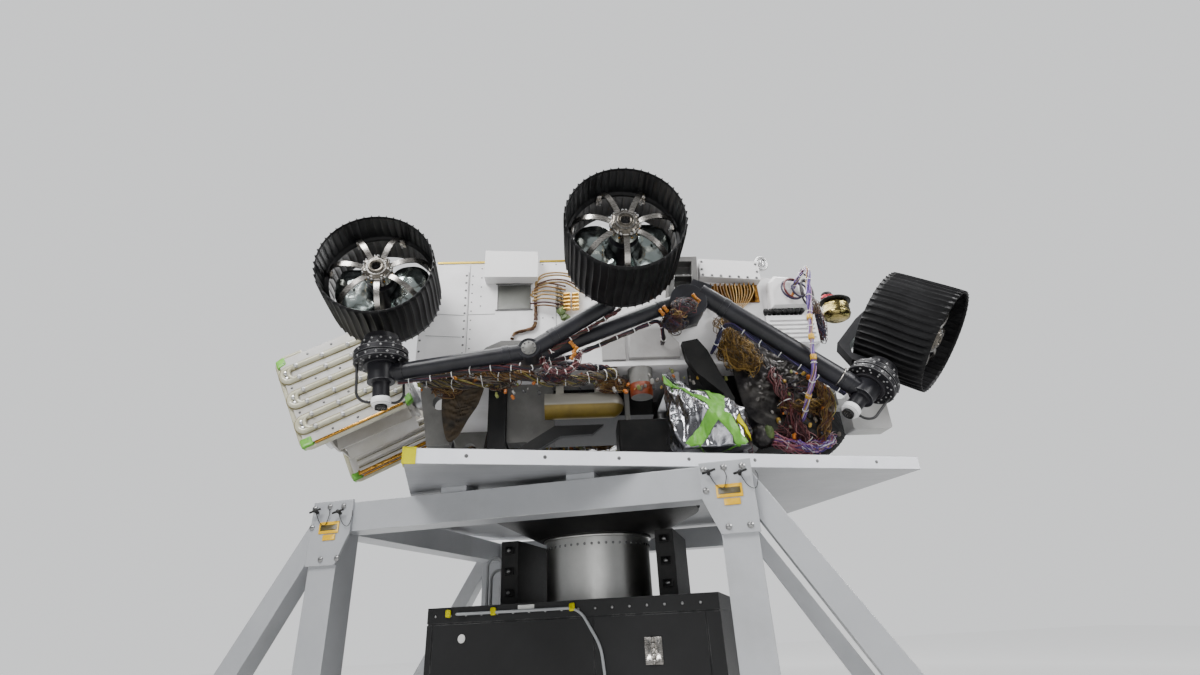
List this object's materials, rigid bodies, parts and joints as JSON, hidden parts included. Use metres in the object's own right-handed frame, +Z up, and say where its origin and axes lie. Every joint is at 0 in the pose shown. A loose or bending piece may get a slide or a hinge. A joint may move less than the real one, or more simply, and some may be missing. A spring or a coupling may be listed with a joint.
{
  "type": "inverted six-wheeled planetary rover on a spin stand",
  "caption": "Planetary rover with rocker-bogie legs, steered wheels on curved spokes and a rear generator, carried belly up on a braced spin table.",
  "frame": {"origin": "on the floor at the spin axis, in the middle of the cabinet's underside", "axes": "+Z up from the floor, +X towards the rover's front, -Y towards the rover's port side as it stands belly up"},
  "size_m": [4.0635, 2.9201, 2.68],
  "materials": {
    "bare_aluminium": "mill finish",
    "black_steel": "black, semi-matte",
    "cabinet_grey": "charcoal, fine texture",
    "cable_black": "black jacket, satin",
    "cream_paint": "cream thermal paint, matte",
    "dark_casting": "dark, satin",
    "dark_tube": "dark, satin",
    "foil_bag": "metallised film, crinkled",
    "gold_film": "gold film, glossy",
    "grey_casting": "bare casting, matte",
    "loom_wrap": "wrapped wire bundle, satin",
    "plate_aluminium": "milled, satin",
    "spin_steel": "turned, satin",
    "stand_aluminium": "pale grey, satin",
    "titanium": "bare titanium, bead blasted",
    "wheel_black": "black anodised, satin",
    "white_paint": "white thermal paint, matte"
  },
  "bodies": {
    "root": {"arm_looms": "loom_wrap", "belly_pan": "bare_aluminium", "chassis_body": "white_paint", "corner_doublers": "white_paint", "corner_gussets": "stand_aluminium", "deck_boxes": "black_steel", "deck_canisters": "gold_film", "deck_fittings": "white_paint", "deck_panel": "white_paint", "deck_posts": "black_steel", "differential_bar": "bare_aluminium", "drum_posts": "black_steel", "exchanger_bars": "bare_aluminium", "exchanger_pipes": "bare_aluminium", "finned_couplers": "gold_film", "foot_plates": "stand_aluminium", "front_bay": "white_paint", "front_instrument_box": "white_paint", "front_louvres": "white_paint", "generator_core": "cream_paint", "generator_mount": "bare_aluminium", "mast_bag": "foil_bag", "mast_tube": "black_steel", "pivot_brackets": "grey_casting", "plate_pads": "stand_aluminium", "port_bogie": "dark_tube", "port_heat_exchanger": "cream_paint", "port_rocker": "dark_tube", "side_boxes": "white_paint", "side_looms": "loom_wrap", "side_lugs": "grey_casting", "spin_cabinet": "cabinet_grey", "spin_drum": "spin_steel", "spin_flange": "black_steel", "stand_beams": "stand_aluminium", "stand_braces": "stand_aluminium", "stand_cables": "cable_black", "stand_posts": "stand_aluminium", "starboard_bogie": "dark_tube", "starboard_heat_exchanger": "cream_paint", "starboard_rocker": "dark_tube", "steering_drums": "dark_casting", "steering_pigtails": "cable_black", "support_plate": "plate_aluminium"},
    "port_front_steer": {"port_front_knuckle": "dark_casting"},
    "port_front_wheel": {"port_front_wheel_rim": "wheel_black", "port_front_wheel_spokes": "titanium"},
    "port_middle_wheel": {"port_middle_wheel_rim": "wheel_black", "port_middle_wheel_spokes": "titanium"},
    "port_rear_steer": {"port_rear_knuckle": "dark_casting"},
    "port_rear_wheel": {"port_rear_wheel_rim": "wheel_black", "port_rear_wheel_spokes": "titanium"},
    "starboard_front_steer": {"starboard_front_knuckle": "dark_casting"},
    "starboard_front_wheel": {"starboard_front_wheel_rim": "wheel_black", "starboard_front_wheel_spokes": "titanium"},
    "starboard_middle_wheel": {"starboard_middle_wheel_rim": "wheel_black", "starboard_middle_wheel_spokes": "titanium"},
    "starboard_rear_steer": {"starboard_rear_knuckle": "dark_casting"},
    "starboard_rear_wheel": {"starboard_rear_wheel_rim": "wheel_black", "starboard_rear_wheel_spokes": "titanium"}
  },
  "joints": [
    {"name": "port_front_steering", "type": "hinge", "parent": "root", "child": "port_front_steer", "pos_m": [1.578, -0.768, 2.087], "axis": [-0.711, -0.113, -0.694], "range_deg": [-31, 159]},
    {"name": "port_front_roll", "type": "hinge", "parent": "port_front_steer", "child": "port_front_wheel", "pos_m": [1.578, -0.768, 2.087], "axis": [-0.6633, 0.4356, 0.6086], "continuous": true},
    {"name": "port_middle_roll", "type": "hinge", "parent": "root", "child": "port_middle_wheel", "pos_m": [0.125, -1.2, 2.37], "axis": [0, 1, 0], "continuous": true},
    {"name": "port_rear_steering", "type": "hinge", "parent": "root", "child": "port_rear_steer", "pos_m": [-1.005, -0.915, 2.35], "axis": [0.107, 0, -0.9943], "range_deg": [-89, 101]},
    {"name": "port_rear_roll", "type": "hinge", "parent": "port_rear_steer", "child": "port_rear_wheel", "pos_m": [-1.005, -0.915, 2.35], "axis": [-0.1039, 0.9945, -0.0112], "continuous": true},
    {"name": "starboard_front_steering", "type": "hinge", "parent": "root", "child": "starboard_front_steer", "pos_m": [1.578, 0.768, 2.087], "axis": [-0.711, 0.113, -0.694], "range_deg": [-159, 31]},
    {"name": "starboard_front_roll", "type": "hinge", "parent": "starboard_front_steer", "child": "starboard_front_wheel", "pos_m": [1.578, 0.768, 2.087], "axis": [-0.6633, -0.4356, 0.6086], "continuous": true},
    {"name": "starboard_middle_roll", "type": "hinge", "parent": "root", "child": "starboard_middle_wheel", "pos_m": [0.125, 1.2, 2.37], "axis": [0, -1, 0], "continuous": true},
    {"name": "starboard_rear_steering", "type": "hinge", "parent": "root", "child": "starboard_rear_steer", "pos_m": [-1.005, 0.915, 2.35], "axis": [0.107, 0, -0.9943], "range_deg": [-101, 89]},
    {"name": "starboard_rear_roll", "type": "hinge", "parent": "starboard_rear_steer", "child": "starboard_rear_wheel", "pos_m": [-1.005, 0.915, 2.35], "axis": [-0.1039, -0.9945, -0.0112], "continuous": true}
  ]
}
